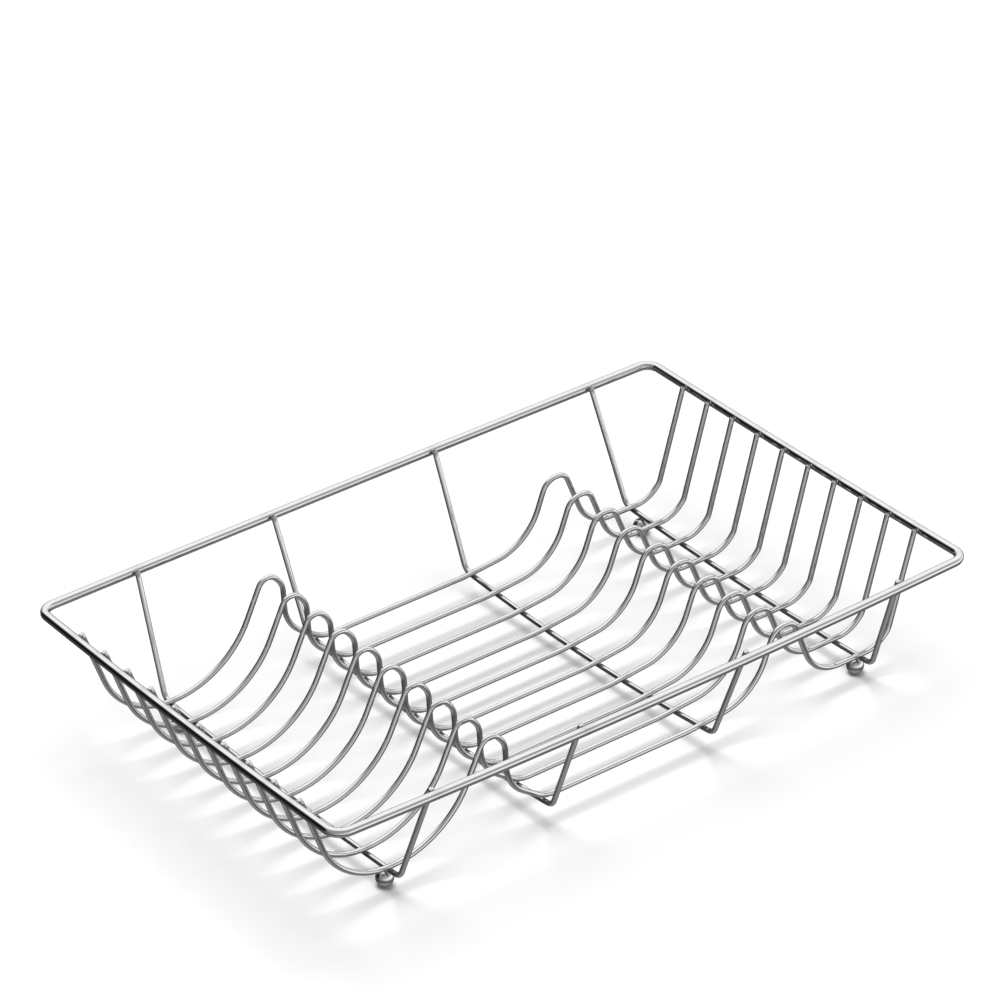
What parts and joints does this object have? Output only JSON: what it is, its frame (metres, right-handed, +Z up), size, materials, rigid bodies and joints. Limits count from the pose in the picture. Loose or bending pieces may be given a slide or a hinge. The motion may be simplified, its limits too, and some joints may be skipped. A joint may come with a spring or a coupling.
{
  "type": "dish drying rack",
  "caption": "Chromed wire dish drying rack: a rounded rectangular rim holds wave-bent long wires with two rows of humps, carried on bent cross wires with ball feet.",
  "frame": {"origin": "on the surface the rack stands on, below the middle of the rim", "axes": "+X along the rack's length towards the bay with the upright end wall, +Y from the front side to the back side, +Z up"},
  "size_m": [0.4819, 0.3255, 0.0923],
  "materials": {
    "rim_chrome": "polished",
    "long_wire_chrome": "polished",
    "cross_wire_chrome": "polished",
    "foot_chrome": "polished"
  },
  "bodies": {
    "root": {"rim_wire": "rim_chrome", "long_wire_01": "long_wire_chrome", "long_wire_02": "long_wire_chrome", "long_wire_03": "long_wire_chrome", "long_wire_04": "long_wire_chrome", "long_wire_05": "long_wire_chrome", "long_wire_06": "long_wire_chrome", "long_wire_07": "long_wire_chrome", "long_wire_08": "long_wire_chrome", "long_wire_09": "long_wire_chrome", "long_wire_10": "long_wire_chrome", "cross_wire_1": "cross_wire_chrome", "cross_wire_2": "cross_wire_chrome", "cross_wire_3": "cross_wire_chrome", "cross_wire_4": "cross_wire_chrome", "ball_foot_front_left": "foot_chrome", "ball_foot_front_right": "foot_chrome", "ball_foot_back_left": "foot_chrome", "ball_foot_back_right": "foot_chrome"}
  },
  "joints": []
}
